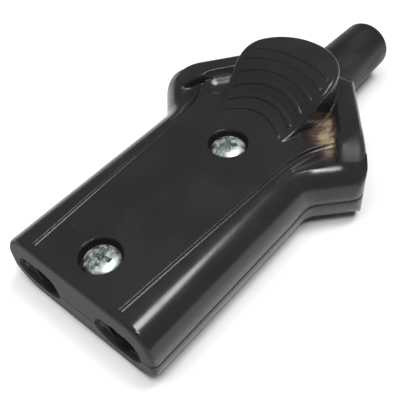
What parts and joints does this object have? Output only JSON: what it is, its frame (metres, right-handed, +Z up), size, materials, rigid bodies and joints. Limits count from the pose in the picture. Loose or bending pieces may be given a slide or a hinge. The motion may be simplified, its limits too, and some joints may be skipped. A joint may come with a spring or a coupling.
{
  "type": "appliance connector",
  "caption": "Flat rewirable appliance connector with round-pin sockets, flared finger wings, a ridged thumb tongue and a rubber cord sleeve.",
  "frame": {"origin": "centre of the base, under the middle of the connector's whole length", "axes": "+Y from the mating face towards the cord sleeve, +Z up through the thumb tongue, +X to the right seen from the mating face"},
  "size_m": [0.0492, 0.094, 0.0219],
  "materials": {
    "casing": "glossy moulded",
    "sleeve": "matt",
    "clamp": "plain moulded",
    "steel": "zinc plated",
    "brass": "turned",
    "spring": "tempered"
  },
  "bodies": {
    "root": {"upper_shell": "casing", "lower_shell": "casing", "cord_sleeve": "sleeve", "cord_clamp_strap": "clamp", "front_casing_screw": "steel", "rear_casing_screw": "steel", "front_casing_nut": "steel", "rear_casing_nut": "steel", "left_clamp_screw": "steel", "right_clamp_screw": "steel", "left_clamp_insert": "brass", "right_clamp_insert": "brass", "live_contact": "brass", "neutral_contact": "brass", "live_contact_spring": "spring", "neutral_contact_spring": "spring", "live_terminal_screw": "brass", "neutral_terminal_screw": "brass"}
  },
  "joints": []
}
